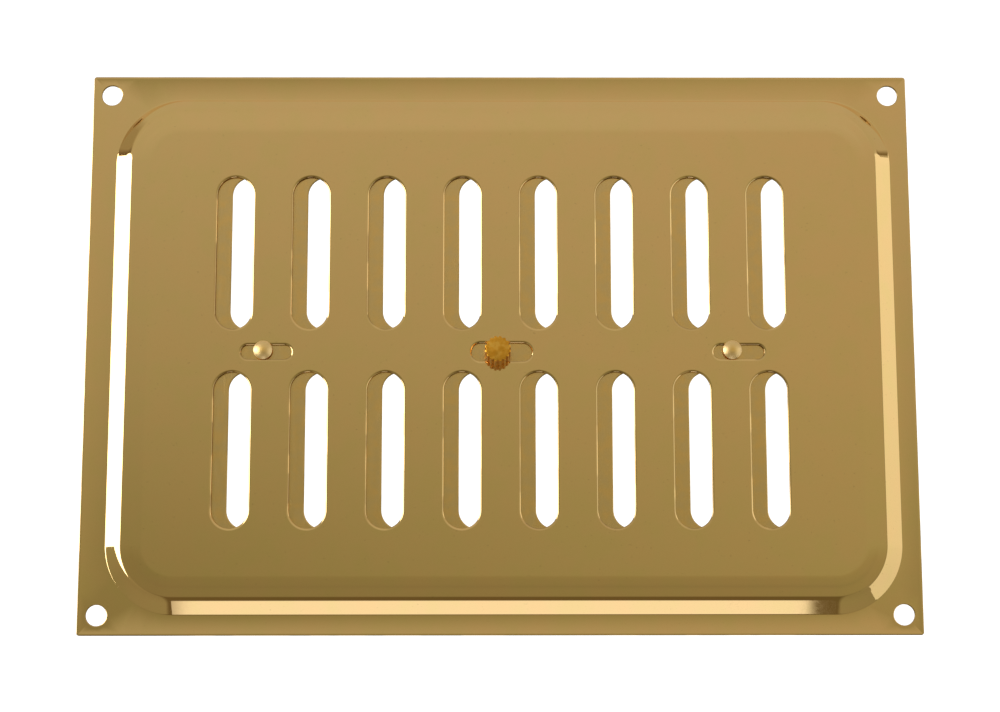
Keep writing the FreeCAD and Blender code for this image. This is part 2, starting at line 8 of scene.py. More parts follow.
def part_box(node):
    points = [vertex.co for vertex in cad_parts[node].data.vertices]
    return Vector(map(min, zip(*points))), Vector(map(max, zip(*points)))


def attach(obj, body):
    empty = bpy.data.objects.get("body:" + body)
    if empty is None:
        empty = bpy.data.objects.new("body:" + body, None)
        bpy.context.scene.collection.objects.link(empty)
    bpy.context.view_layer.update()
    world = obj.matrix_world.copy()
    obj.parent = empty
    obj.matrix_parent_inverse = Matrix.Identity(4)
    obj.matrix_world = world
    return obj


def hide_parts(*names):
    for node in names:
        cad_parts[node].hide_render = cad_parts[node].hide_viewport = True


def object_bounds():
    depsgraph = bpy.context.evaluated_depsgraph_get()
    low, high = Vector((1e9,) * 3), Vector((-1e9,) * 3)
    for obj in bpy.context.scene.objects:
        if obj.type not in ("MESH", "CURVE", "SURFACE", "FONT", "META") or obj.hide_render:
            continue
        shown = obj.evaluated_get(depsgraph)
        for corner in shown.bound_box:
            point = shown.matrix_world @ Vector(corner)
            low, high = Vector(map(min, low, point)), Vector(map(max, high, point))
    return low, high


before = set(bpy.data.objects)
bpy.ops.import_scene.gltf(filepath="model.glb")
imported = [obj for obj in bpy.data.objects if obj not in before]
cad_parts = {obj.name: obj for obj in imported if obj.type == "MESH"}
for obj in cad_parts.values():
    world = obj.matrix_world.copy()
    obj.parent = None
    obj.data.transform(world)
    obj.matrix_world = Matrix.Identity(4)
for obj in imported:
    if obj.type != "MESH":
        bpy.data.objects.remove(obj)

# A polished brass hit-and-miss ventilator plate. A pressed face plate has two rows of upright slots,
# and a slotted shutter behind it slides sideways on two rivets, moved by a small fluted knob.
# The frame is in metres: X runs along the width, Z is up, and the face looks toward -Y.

cad_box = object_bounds()
MM = 0.001

# ---------------------------------------------------------------- sizes that the CAD boxes don't give

SHEET = 0.7 * MM
PLATE_CORNER = 0.8 * MM
SCREWS_ACROSS = 231.0 * MM
SCREWS_UP = 153.5 * MM
SCREW_HOLE_RADIUS = 3.0 * MM

FOOT_SIZE = (229.3 * MM, 152.3 * MM)
FOOT_CENTRE = (1.0 * MM, -0.6 * MM)
FOOT_CORNER = 20.0 * MM
BEVEL_ANGLE = radians(38.0)
FOOT_BEND = 0.6 * MM
CROWN_BEND = 4.0 * MM
CROWN_END = radians(4.2)

# Past the crown the panel is slightly sprung: each run (width, lean that it ends with) leads inward.
SPRING_RUNS = [
    (1.8 * MM, radians(4.0)), (0.8 * MM, radians(6.0)), (0.8 * MM, radians(3.8)),
    (1.2 * MM, radians(3.2)), (1.2 * MM, 0.0)]

SLOT_COLUMNS = 8
SLOT_PITCH = 22.2 * MM
SLOT_ROW_SPACING = 57.9 * MM
SLOT_MIDDLE_UP = -0.65 * MM
SLOT_SIZE = (10.6 * MM, 45.3 * MM)
GUIDE_SLOT_SIZE = (14.8 * MM, 4.2 * MM)
GUIDE_SLOT_SPACING = 137.2 * MM
GUIDE_SLOT_MIDDLE = (0.65 * MM, -1.1 * MM)
KNOB_SLOT_SIZE = (17.6 * MM, 5.4 * MM)
KNOB_SLOT_MIDDLE = (0.35 * MM, -1.15 * MM)

SHUTTER_DRAWN = 4.4 * MM
SHUTTER_CORNER = 3.0 * MM
SHUTTER_RIVET_HOLE = 1.35 * MM
SHUTTER_KNOB_HOLE = 1.3 * MM

RIVET_DOME_ANGLE = 41.0
RIVET_SHANK_RADIUS = 1.3 * MM
RIVET_TAIL_RADIUS = 2.6 * MM
RIVET_TAIL_HEIGHT = 0.9 * MM
WASHER_BORE = 1.4 * MM
SPRING_STRIP = 0.25 * MM
KNOB_NECK_RADIUS = 2.0 * MM
KNOB_NECK_LENGTH = 1.3 * MM
KNOB_FLUTES = 16
FLUTE_RADIUS = 0.42 * MM

# A lip is how a sheet rounds into a cut edge: (radius of the shallow draw-in, angle that it reaches,
# radius of the tight roll from there down to the wall).
PUNCHED_LIP = (1.3 * MM, radians(25.0), 0.20 * MM)
SCREW_HOLE_LIP = (0.6 * MM, radians(20.0), 0.08 * MM)
SHUTTER_LIP = (1.0 * MM, radians(20.0), 0.10 * MM)
SHEARED_LIP = (0.8 * MM, radians(10.0), 0.14 * MM)
# The far side of a cut has a small roll. Rubbing reaches a little way in from an edge.
BURR_ROLL = 0.07 * MM
WEAR_REACH = 0.5 * MM

# Polishing has rounded the flange a little toward its border. Only its shading shows that.
FLANGE_LEAN = radians(-6.0)


# ---------------------------------------------------------------- outlines and meshes

def rounded_rectangle(size, corner, centre=(0.0, 0.0), corner_steps=12, run_step=6.0 * MM):
    """Stations (x, z, outward x, outward z) round a rectangle with arc corners. A corner of half the
    shorter side gives a slot with round ends, and of half both sides a circle."""
    reach_x = size[0] / 2 - corner
    reach_z = size[1] / 2 - corner
    stations = []
    for quarter in range(4):
        side_x = 1 if quarter in (0, 3) else -1
        side_z = 1 if quarter in (0, 1) else -1
        middle = (centre[0] + side_x * reach_x, centre[1] + side_z * reach_z)
        for step in range(corner_steps + 1):
            angle = (quarter + step / corner_steps) * pi / 2
            out = (cos(angle), sin(angle))
            stations.append((middle[0] + corner * out[0], middle[1] + corner * out[1], *out))
        run = 2 * (reach_z if quarter in (1, 3) else reach_x)
        if quarter in (1, 3):
            along = (0.0, -1.0 if quarter == 1 else 1.0)
        else:
            along = (-1.0 if quarter == 0 else 1.0, 0.0)
        pieces = ceil(run / run_step - 1e-6)
        last = stations[-1]
        if pieces == 0:
            stations.pop()
        for piece in range(1, pieces):
            part = run * piece / pieces
            stations.append((last[0] + along[0] * part, last[1] + along[1] * part, last[2], last[3]))
    return stations


def circle(radius, centre, corner_steps=10):
    """Stations round a circle."""
    return rounded_rectangle((2 * radius, 2 * radius), radius, centre, corner_steps)


class Shell:
    """Gathers rings of vertices and the faces between them, with an exact normal at every vertex."""

    def __init__(self):
        self.points = []
        self.normals = []
        self.wear = []
        self.raw = []
        self.faces = []

    def add(self, point, normal, wear=0.0, raw=0.0):
        """Adds a vertex. wear marks a rubbed edge, and raw marks the torn metal of a cut."""
        self.points.append(Vector(point))
        self.normals.append(Vector(normal))
        self.wear.append(wear)
        self.raw.append(raw)

    def ring(self, outline, inset, depth, lean, wear=0.0, raw=0.0):
        """Adds an outline shrunk by inset at a depth in Y. Its normals lean outward from -Y."""
        first = len(self.points)
        for x, z, out_x, out_z in outline:
            point = (x - inset * out_x, depth, z - inset * out_z)
            self.add(point, (sin(lean) * out_x, -cos(lean), sin(lean) * out_z), wear, raw)
        return range(first, len(self.points))

    def face(self, *corners):
        """Adds one face, turned to agree with the normals of its vertices."""
        places = [self.points[corner] for corner in corners]
        flat = (places[1] - places[0]).cross(places[2] - places[0])
        meant = sum((self.normals[corner] for corner in corners), Vector())
        self.faces.append(corners if flat.dot(meant) > 0 else corners[::-1])

    def bridge(self, ring_a, ring_b):
        """Joins two rings of equal count with four-sided faces."""
        count = len(ring_a)
        for here in range(count):
            after = (here + 1) % count
            self.face(ring_a[here], ring_a[after], ring_b[after], ring_b[here])

    def fill(self, border, holes):
        """Fills the flat region inside the border ring and outside the hole rings."""
        loops = [border, *holes]
        known = [index for loop in loops for index in loop]
        places = [self.points[index].xz / MM for index in known]
        spans = []
        first = 0
        for loop in loops:
            spans.append(list(range(first, first + len(loop))))
            first += len(loop)
        found = delaunay_2d_cdt(places, [], spans, 1, 1e-6, True)
        triangles, origins, owners = found[2], found[3], found[5]
        for triangle, owner in zip(triangles, owners):
            if list(owner) == [0]:
                self.face(*(known[origins[corner][0]] for corner in triangle))

    def edge(self, outline, side, front, back, lip, lean=0.0):
        """Adds the cut edge of a sheet round an outline: side 1 for its border and -1 for a hole.
        lean is how far the flat front leans there. Returns the rings where the flats begin."""
        draw_radius, draw_angle, roll_radius = lip
        draw_width = draw_radius * sin(draw_angle)
        width = draw_width + roll_radius * (1 - sin(draw_angle))
        rings = [self.ring(outline, side * (width + WEAR_REACH), front, lean)]
        for step in range(5):
            turn = draw_angle * step / 4
            inset = width - draw_radius * sin(turn)
            depth = front + draw_radius * (1 - cos(turn))
            rings.append(self.ring(outline, side * inset, depth, side * turn, 0.3 * step / 4))
        draw_depth = depth
        for step in range(1, 9):
            turn = draw_angle + (pi / 2 - draw_angle) * step / 8
            inset = roll_radius * (1 - sin(turn))
            depth = draw_depth + roll_radius * (cos(draw_angle) - cos(turn))
            rings.append(self.ring(outline, side * inset, depth, side * turn, 0.3 + 0.7 * step / 8))
        rings.append(self.ring(outline, 0.0, depth + 0.2 * (back - depth), side * pi / 2, 0.5, 1.0))
        for step in range(4):
            turn = step / 3 * pi / 2
            inset = BURR_ROLL * (1 - cos(turn))
            depth = back - BURR_ROLL * (1 - sin(turn))
            burr_lean = side * (pi / 2 + turn)
            rings.append(self.ring(outline, side * inset, depth, burr_lean, 0.6, 1.0 - step / 3))
        rings.append(self.ring(outline, side * (BURR_ROLL + WEAR_REACH), back, pi))
        for ring_a, ring_b in zip(rings, rings[1:]):
            self.bridge(ring_a, ring_b)
        return rings[0], rings[-1]

    def build(self, name):
        """Makes the object, with smooth faces and the gathered normals."""
        mesh = bpy.data.meshes.new(name)
        mesh.from_pydata(self.points, [], self.faces)
        mesh.update()
        mesh.shade_smooth()
        mesh.normals_split_custom_set_from_vertices(self.normals)
        for title, values in (("wear", self.wear), ("raw", self.raw)):
            layer = mesh.attributes.new(title, "FLOAT", "POINT")
            layer.data.foreach_set("value", values)
        piece = bpy.data.objects.new(name, mesh)
        bpy.context.scene.collection.objects.link(piece)
        return piece


class Section:
    """Half of a turned piece's section: a path of straight runs and bends, each tangent to the last,
    in radius and depth. Heading 0 runs outward and heading 90 runs toward +Y."""

    def __init__(self, radius, depth, heading=0.0):
        self.radius = radius
        self.depth = depth
        self.heading = radians(heading)
        self.stations = []
        self.mark()

    def mark(self):
        """Records this place with its surface normal, which is a quarter turn to the left."""
        self.stations.append((self.radius, self.depth, sin(self.heading), -cos(self.heading)))

    def out_to(self, radius):
        """Runs straight to a radius."""
        length = (radius - self.radius) / cos(self.heading)
        self.radius = radius
        self.depth += length * sin(self.heading)
        self.mark()
        return self

    def along_to(self, depth):
        """Runs straight to a depth."""
        length = (depth - self.depth) / sin(self.heading)
        self.depth = depth
        self.radius += length * cos(self.heading)
        self.mark()
        return self

    def bend(self, bend_radius, turn, steps=5):
        """Turns through an angle in degrees: a positive turn rounds an outer corner."""
        side = 1 if turn > 0 else -1
        middle_radius = self.radius - side * bend_radius * sin(self.heading)
        middle_depth = self.depth + side * bend_radius * cos(self.heading)
        start = self.heading
        for step in range(1, steps + 1):
            self.heading = start + radians(turn) * step / steps
            self.radius = middle_radius + side * bend_radius * sin(self.heading)
            self.depth = middle_depth - side * bend_radius * cos(self.heading)
            self.mark()
        return self


def turned(name, section, centre, around=64, closed=False, bow=None):
    """Revolves a section about the line through centre (x, z) that runs along Y. bow gives how far a
    place (x, z), measured from that line, is moved along Y."""
    shell = Shell()
    columns = []
    for radius, depth, normal_out, normal_depth in section.stations:
        count = 1 if radius < 1e-9 else around
        first = len(shell.points)
        for step in range(count):
            angle = 2 * pi * step / around
            x, z = radius * cos(angle), radius * sin(angle)
            moved = bow(x, z) if bow else 0.0
            normal = (normal_out * cos(angle), normal_depth, normal_out * sin(angle))
            wear = 2 * abs(normal_out * normal_depth)
            shell.add((centre[0] + x, depth + moved, centre[1] + z), normal, wear)
        columns.append(range(first, len(shell.points)))
    if closed:
        columns.append(columns[0])
    for ring_a, ring_b in zip(columns, columns[1:]):
        if len(ring_a) == 1 or len(ring_b) == 1:
            pole = ring_a[0] if len(ring_a) == 1 else ring_b[0]
            rim = ring_b if len(ring_a) == 1 else ring_a
            for here in range(around):
                shell.face(pole, rim[here], rim[(here + 1) % around])
        else:
            shell.bridge(ring_a, ring_b)
    return shell.build(name)


# ---------------------------------------------------------------- pieces

def slot_outlines(shift=0.0):
    """The sixteen upright slots, moved sideways by shift."""
    outlines = []
    for row in (-0.5, 0.5):
        for column in range(SLOT_COLUMNS):
            x = (column - (SLOT_COLUMNS - 1) / 2) * SLOT_PITCH + shift
            z = SLOT_MIDDLE_UP + row * SLOT_ROW_SPACING
            outlines.append(rounded_rectangle(SLOT_SIZE, SLOT_SIZE[0] / 2, (x, z)))
    return outlines


def bevel_stations():
    """Stations (inset, height, lean) of the bevel from the flange up to the flat panel."""
    stations = []
    for step in range(7):
        lean = BEVEL_ANGLE * step / 6
        stations.append((FOOT_BEND * sin(lean), FOOT_BEND * (1 - cos(lean)), lean))
    across, height, _ = stations[-1]
    spring_rise = 0.0
    last = CROWN_END
    for width, lean in SPRING_RUNS:
        spring_rise += width * tan((last + lean) / 2)
        last = lean
    plate_low, plate_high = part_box("face_plate")
    rise = plate_high.y - plate_low.y - SHEET
    crown_rise = CROWN_BEND * (cos(CROWN_END) - cos(BEVEL_ANGLE))
    slope_rise = rise - height - crown_rise - spring_rise
    slope_width = slope_rise / tan(BEVEL_ANGLE)
    for step in range(1, 4):
        part = step / 3
        stations.append((across + slope_width * part, height + slope_rise * part, BEVEL_ANGLE))
    across, height, _ = stations[-1]
    for step in range(1, 15):
        lean = BEVEL_ANGLE + (CROWN_END - BEVEL_ANGLE) * step / 14
        inset = across + CROWN_BEND * (sin(BEVEL_ANGLE) - sin(lean))
        stations.append((inset, height + CROWN_BEND * (cos(lean) - cos(BEVEL_ANGLE)), lean))
    for width, lean in SPRING_RUNS:
        across, height, start = stations[-1]
        for step in range(1, 4):
            middle = start + (lean - start) * step / 6
            part = width * step / 3
            here = start + (lean - start) * step / 3
            stations.append((across + part, height + part * tan(middle), here))
    return stations


def make_face_plate():
    """The pressed plate: flat flange, bevel and raised panel, with rolled edges on every hole."""
    shell = Shell()
    low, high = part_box("face_plate")
    flange_front = high.y - SHEET
    size = (high.x - low.x, high.z - low.z)
    border = rounded_rectangle(size, PLATE_CORNER, corner_steps=6)
    flange_rings = [shell.edge(border, 1, flange_front, high.y, SHEARED_LIP, FLANGE_LEAN)]
    for side_x in (-0.5, 0.5):
        for side_z in (-0.5, 0.5):
            hole = circle(SCREW_HOLE_RADIUS, (side_x * SCREWS_ACROSS, side_z * SCREWS_UP), 14)
            flange_rings.append(shell.edge(hole, -1, flange_front, high.y, SCREW_HOLE_LIP))
    foot = rounded_rectangle(FOOT_SIZE, FOOT_CORNER, FOOT_CENTRE, 40)
    fronts, backs = [], []
    for inset, height, lean in bevel_stations():
        fronts.append(shell.ring(foot, inset, flange_front - height, lean))
        back_inset = inset + SHEET * sin(lean)
        back_depth = flange_front - height + SHEET * cos(lean)
        backs.append(shell.ring(foot, back_inset, back_depth, lean - pi))
    for rings in (fronts, backs):
        for ring_a, ring_b in zip(rings, rings[1:]):
            shell.bridge(ring_a, ring_b)
    panel_front = low.y
    panel_back = low.y + SHEET
    panel_holes = slot_outlines()
    for side in (-0.5, 0.5):
        middle = (GUIDE_SLOT_MIDDLE[0] + side * GUIDE_SLOT_SPACING, GUIDE_SLOT_MIDDLE[1])
        panel_holes.append(rounded_rectangle(GUIDE_SLOT_SIZE, GUIDE_SLOT_SIZE[1] / 2, middle))
    panel_holes.append(rounded_rectangle(KNOB_SLOT_SIZE, KNOB_SLOT_SIZE[1] / 2, KNOB_SLOT_MIDDLE))
    panel_rings = []
    for hole in panel_holes:
        panel_rings.append(shell.edge(hole, -1, panel_front, panel_back, PUNCHED_LIP))
    for layer, rings in enumerate((fronts, backs)):
        shell.fill(flange_rings[0][layer], [rings[0], *(pair[layer] for pair in flange_rings[1:])])
        shell.fill(rings[-1], [pair[layer] for pair in panel_rings])
    return shell.build("brass_face_plate")


def make_shutter_plate():
    """The flat slotted sheet that slides behind the panel."""
    shell = Shell()
    low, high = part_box("shutter_plate")
    centre = ((low.x + high.x) / 2, (low.z + high.z) / 2)
    border = rounded_rectangle((high.x - low.x, high.z - low.z), SHUTTER_CORNER, centre)
    holes = slot_outlines(SHUTTER_DRAWN)
    for rivet in ("guide_rivet_left", "guide_rivet_right"):
        holes.append(circle(SHUTTER_RIVET_HOLE, middle_of(rivet)))
    holes.append(circle(SHUTTER_KNOB_HOLE, middle_of("knob")))
    rings = [shell.edge(border, 1, low.y, high.y, SHEARED_LIP)]
    for hole in holes:
        rings.append(shell.edge(hole, -1, low.y, high.y, SHUTTER_LIP))
    for layer in (0, 1):
        shell.fill(rings[0][layer], [pair[layer] for pair in rings[1:]])
    return shell.build("brass_shutter_plate")


def make_rivet(node):
    """A guide rivet: low domed head, shank, and a closed tail behind the washers."""
    low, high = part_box(node)
    rim = 0.1 * MM
    lean = radians(RIVET_DOME_ANGLE)
    dome = ((high.x - low.x) / 2 - rim * (1 - sin(lean))) / sin(lean)
    fillet = 0.1 * MM
    section = Section(0.0, low.y).bend(dome, RIVET_DOME_ANGLE, 16)
    section.bend(rim, 180.0 - RIVET_DOME_ANGLE, 6)
    section.out_to(RIVET_SHANK_RADIUS + fillet).bend(fillet, -90.0)
    section.along_to(high.y - RIVET_TAIL_HEIGHT - fillet).bend(fillet, -90.0)
    section.out_to(RIVET_TAIL_RADIUS - rim).bend(rim, 90.0)
    section.along_to(high.y - RIVET_TAIL_HEIGHT * 0.65).bend(RIVET_TAIL_HEIGHT * 0.65, 90.0, 8)
    section.out_to(0.0)
    return turned(f"brass_{node}", section, middle_of(node))


def washer_section(outer, bore, front, back, roll):
    """The closed section of a flat ring, which starts and ends on the bore side of its front."""
    section = Section(bore + roll, front).out_to(outer - roll).bend(roll, 90.0)
    section.along_to(back - roll).bend(roll, 90.0)
    section.out_to(bore + roll).bend(roll, 90.0)
    section.along_to(front + roll).bend(roll, 90.0)
    section.stations.pop()
    return section


def make_washer(node, bore):
    """A flat punched washer with softened edges."""
    low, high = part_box(node)
    section = washer_section((high.x - low.x) / 2, bore, low.y, high.y, 0.12 * MM)
    return turned(f"punched_{node}", section, middle_of(node), 72, closed=True)


def make_spring_washer(node):
    """A thin washer bowed about its upright middle line, with its two sides on the shutter."""
    low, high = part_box(node)
    radius = (high.x - low.x) / 2
    rise = high.y - low.y - SPRING_STRIP

    def bow(x, z):
        return rise * (1 - (x / radius) ** 2)

    section = washer_section(radius, WASHER_BORE, low.y, low.y + SPRING_STRIP, 0.05 * MM)
    return turned(f"bowed_{node}", section, middle_of(node), 96, closed=True, bow=bow)


def fluted_outline(radius):
    """Places and outward normals (x, z, out_x, out_z) round a grip, with a hollow at each flute."""
    flute_reach = acos(FLUTE_RADIUS / (2 * radius)) - radians(6.0)
    land_reach = pi / KNOB_FLUTES - 2.1 * FLUTE_RADIUS / (2 * radius)
    outline = []
    for flute in range(KNOB_FLUTES):
        middle = 2 * pi * flute / KNOB_FLUTES
        across = Vector((cos(middle), sin(middle)))
        along = Vector((-sin(middle), cos(middle)))
        for step in range(9):
            turn = flute_reach * (step / 4 - 1)
            out = across * cos(turn) - along * sin(turn)
            place = across * radius - out * FLUTE_RADIUS
            outline.append((*place, *out))
        for step in range(5):
            angle = middle + pi / KNOB_FLUTES + land_reach * (step / 2 - 1)
            out = Vector((cos(angle), sin(angle)))
            outline.append((*(out * radius), *out))
    return outline


def make_knob():
    """The fluted grip with a slightly domed end, on its plain neck."""
    low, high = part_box("knob")
    centre = middle_of("knob")
    radius = (high.x - low.x) / 2
    grip_end = high.y - KNOB_NECK_LENGTH
    fillet = 0.15 * MM
    dome = 26.0 * MM
    dome_angle = 7.0
    edge = 0.45 * MM
    section = Section(0.0, low.y)
    for step in range(4):
        section.bend(dome, dome_angle / 4, 2)
    section.out_to(radius - edge * (1 - sin(radians(dome_angle))))
    section.bend(edge, 90.0 - dome_angle, 8)
    for step in range(1, 6):
        section.along_to(section.depth + (grip_end - edge / 2 - section.depth) * step / 5)
    section.bend(edge / 2, 90.0, 5)
    section.out_to(KNOB_NECK_RADIUS + fillet).bend(fillet, -90.0)
    section.along_to(high.y - fillet).bend(fillet, 90.0).out_to(0.0)
    shell = Shell()
    rings = []
    outline = fluted_outline(radius)
    for ring_radius, depth, normal_out, normal_depth in section.stations:
        first = len(shell.points)
        if ring_radius < 1e-9:
            shell.add((centre[0], depth, centre[1]), (0.0, normal_depth, 0.0))
            rings.append(range(first, first + 1))
            continue
        for x, z, out_x, out_z in outline:
            place = Vector((x, z))
            if place.length > ring_radius - 1e-7:
                out = place.normalized()
                normal = (normal_out * out.x, normal_depth, normal_out * out.y)
                place = out * ring_radius
            else:
                normal = (out_x, 0.0, out_z)
            wear = 1.0 if place.length > radius - 0.03 * MM else 0.0
            shell.add((centre[0] + place.x, depth, centre[1] + place.y), normal, wear)
        rings.append(range(first, len(shell.points)))
    for ring_a, ring_b in zip(rings, rings[1:]):
        if len(ring_a) == 1 or len(ring_b) == 1:
            pole = ring_a[0] if len(ring_a) == 1 else ring_b[0]
            rim_ring = ring_b if len(ring_a) == 1 else ring_a
            for here in range(len(rim_ring)):
                shell.face(pole, rim_ring[here], rim_ring[(here + 1) % len(rim_ring)])
        else:
            shell.bridge(ring_a, ring_b)
    return shell.build("fluted_knob")


def middle_of(node):
    """The (x, z) of a CAD node's middle."""
    low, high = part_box(node)
    return (low.x + high.x) / 2, (low.z + high.z) / 2


# ---------------------------------------------------------------- materials

# Scales of noise, in waves per metre.
SCRATCH_SCALE = 130.0
PATCH_SCALE = 60.0
GRAIN_SCALE = 900.0
SPECK_SCALE = 1500.0
DARK_REFLECTION_SCALE = 100.0
SWELL_SCALE = 45.0

# Scratches run two ways: (angle from upright, how many times longer than wide their pattern is).
SCRATCH_RUNS = ((radians(3.0), 30.0), (radians(-34.0), 22.0))


def new_material(name):
    """A material with a Principled shader and a noise source in object space."""
    material = bpy.data.materials.new(name)
    material.use_nodes = True
    tree = material.node_tree
    shader = tree.nodes["Principled BSDF"]
    place = tree.nodes.new("ShaderNodeTexCoord")
    return material, tree, shader, place.outputs["Object"]


def add_noise(tree, place, scale, detail=4.0, stretch=(1.0, 1.0, 1.0)):
    """A noise value at a scale in waves per metre, stretched along the axes."""
    mapping = tree.nodes.new("ShaderNodeMapping")
    mapping.inputs["Scale"].default_value = stretch
    tree.links.new(place, mapping.inputs["Vector"])
    noise = tree.nodes.new("ShaderNodeTexNoise")
    noise.inputs["Scale"].default_value = scale
    noise.inputs["Detail"].default_value = detail
    tree.links.new(mapping.outputs["Vector"], noise.inputs["Vector"])
    return noise.outputs["Fac"]


def add_range(tree, value, low, high, new_low, new_high):
    """Maps a value's range low..high onto new_low..new_high."""
    node = tree.nodes.new("ShaderNodeMapRange")
    tree.links.new(value, node.inputs["Value"])
    node.inputs["From Min"].default_value = low
    node.inputs["From Max"].default_value = high
    node.inputs["To Min"].default_value = new_low
    node.inputs["To Max"].default_value = new_high
    return node.outputs["Result"]


def add_math(tree, operation, *values):
    """The result of a math node on one or two values."""
    node = tree.nodes.new("ShaderNodeMath")
    node.operation = operation
    for socket, value in zip(node.inputs, values):
        tree.links.new(value, socket)
    return node.outputs["Value"]


def add_ramp(tree, value, stops):
    """A colour that follows a value through (position, colour) stops."""
    node = tree.nodes.new("ShaderNodeValToRGB")
    tree.links.new(value, node.inputs["Fac"])
    elements = node.color_ramp.elements
    while len(elements) < len(stops):
        elements.new(0.5)
    for element, (position, colour) in zip(elements, stops):
        element.position = position
        element.color = (*colour, 1.0)
    return node.outputs["Color"]


def add_mix(tree, factor, colour_a, colour_b):
    """A mix of two colours, each a socket or a plain colour."""
    node = tree.nodes.new("ShaderNodeMix")
    node.data_type = "RGBA"
    factor_in, a_in, b_in = node.inputs[0], node.inputs[6], node.inputs[7]
    for source, socket in ((factor, factor_in), (colour_a, a_in), (colour_b, b_in)):
        if isinstance(source, bpy.types.NodeSocket):
            tree.links.new(source, socket)
        elif isinstance(source, (int, float)):
            socket.default_value = source
        else:
            socket.default_value = (*source, 1.0)
    return node.outputs[2]


def add_blend(tree, factor, value, target):
    """A value that goes to a target number as the factor goes to 1."""
    node = tree.nodes.new("ShaderNodeMix")
    node.data_type = "FLOAT"
    tree.links.new(factor, node.inputs[0])
    tree.links.new(value, node.inputs[2])
    node.inputs[3].default_value = target
    return node.outputs[0]


def add_bump(tree, shader, heights):
    """Bump from several (height, strength, distance) layers, one after another."""
    normal = None
    for height, strength, distance in heights:
        bump = tree.nodes.new("ShaderNodeBump")
        bump.inputs["Strength"].default_value = strength
        bump.inputs["Distance"].default_value = distance
        tree.links.new(height, bump.inputs["Height"])
        if normal:
            tree.links.new(normal, bump.inputs["Normal"])
        normal = bump.outputs["Normal"]
    tree.links.new(normal, shader.inputs["Normal"])


def add_rings(tree, place, centre, spacing):
    """Fine rings about the line through centre (x, z) that runs along Y, as a turning tool leaves."""
    mapping = tree.nodes.new("ShaderNodeMapping")
    mapping.inputs["Location"].default_value = (-centre[0], 0.0, -centre[1])
    tree.links.new(place, mapping.inputs["Vector"])
    wave = tree.nodes.new("ShaderNodeTexWave")
    wave.wave_type = "RINGS"
    wave.rings_direction = "Y"
    wave.inputs["Scale"].default_value = pi / 10 / spacing
    wave.inputs["Distortion"].default_value = 0.6
    tree.links.new(mapping.outputs["Vector"], wave.inputs["Vector"])
    return wave.outputs["Fac"]


def add_scratches(tree, place, angle, length):
    """Sparse fine lines, 1 on a line and 0 elsewhere, that run at an angle from upright."""
    mapping = tree.nodes.new("ShaderNodeMapping")
    mapping.inputs["Rotation"].default_value = (0.0, angle, 0.0)
    mapping.inputs["Scale"].default_value = (1.0, 1.0, 1.0 / length)
    tree.links.new(place, mapping.inputs["Vector"])
    cells = tree.nodes.new("ShaderNodeTexVoronoi")
    cells.feature = "DISTANCE_TO_EDGE"
    cells.inputs["Scale"].default_value = SCRATCH_SCALE
    tree.links.new(mapping.outputs["Vector"], cells.inputs["Vector"])
    line = add_range(tree, cells.outputs["Distance"], 0.004, 0.012, 1.0, 0.0)
    patch = add_range(tree, add_noise(tree, place, PATCH_SCALE, 2.0), 0.56, 0.66, 0.0, 1.0)
    return add_math(tree, "MULTIPLY", line, patch)


def make_metal(name, shades, roughness, grain=(1.0, 1.0, 1.0), wave=0.02, rubbed_and_painted_dark=None, raw=None,
               turned_at=None, blotch=190.0, scratched=0.0):
    """A metal whose colour drifts between a cool, a middle and a warm shade in blotches of a given
    scale. Its gloss has a fine grain. rubbed_and_painted_dark is the colour of rubbed edges, raw
    that of torn ones, and on an edge with both dark reflection is painted over in patches. turned_at
    is the middle of the rings that turning left, and scratched is how clear the scratches are."""
    material, tree, shader, place = new_material(name)
    shader.inputs["Metallic"].default_value = 1.0
    cool, middle, warm = shades
    drift = add_noise(tree, place, blotch, 3.0)
    shade = add_ramp(tree, drift, [(0.36, cool), (0.5, middle), (0.64, warm)])
    fine = add_noise(tree, place, GRAIN_SCALE, 5.0, grain)
    gloss = add_range(tree, fine, 0.3, 0.7, *roughness)
    speck = add_range(tree, add_noise(tree, place, SPECK_SCALE, 2.0), 0.70, 0.76, 0.0, 0.35)
    shade = add_mix(tree, speck, shade, [channel * 0.55 for channel in middle])
    # Where an edge is both rubbed and torn, dark reflection is painted over its rubbed colour in noise
    # patches.
    if rubbed_and_painted_dark and raw:
        dark_reflection_noise = add_noise(tree, place, DARK_REFLECTION_SCALE, 1.0)
        painted_dark_reflection = [channel * 0.12 for channel in middle]
        rubbed_and_painted_dark = add_ramp(tree, dark_reflection_noise, [(0.47, painted_dark_reflection), (0.54, rubbed_and_painted_dark)])
    for title, colour, rough in (("wear", rubbed_and_painted_dark, roughness[0]), ("raw", raw, 0.5)):
        if colour:
            mark = tree.nodes.new("ShaderNodeAttribute")
            mark.attribute_name = title
            shade = add_mix(tree, mark.outputs["Fac"], shade, colour)
            gloss = add_blend(tree, mark.outputs["Fac"], gloss, rough)
    swell = add_noise(tree, place, SWELL_SCALE, 1.0)
    heights = [(swell, wave, 0.5 * MM), (fine, 0.006, 0.02 * MM)]
    if scratched:
        for angle, length in SCRATCH_RUNS:
            line = add_scratches(tree, place, angle, length)
            clear = add_range(tree, line, 0.0, 1.0, 0.0, scratched)
            shade = add_mix(tree, clear, shade, warm)
            gloss = add_blend(tree, clear, gloss, 0.45)
    tree.links.new(shade, shader.inputs["Base Color"])
    tree.links.new(gloss, shader.inputs["Roughness"])
    if turned_at:
        heights.append((add_rings(tree, place, turned_at, 0.22 * MM), 0.25, 0.02 * MM))
    add_bump(tree, shader, heights)
    return material


# ---------------------------------------------------------------- studio

def add_window(tree, value, start, end):
    """1 where a value is between two soft limits, and 0 outside. start is where it rises from 0 to 1,
    and end where it falls back to 0."""
    return add_math(tree, "MULTIPLY", add_range(tree, value, *start, 0.0, 1.0),
                    add_range(tree, value, *end, 1.0, 0.0))


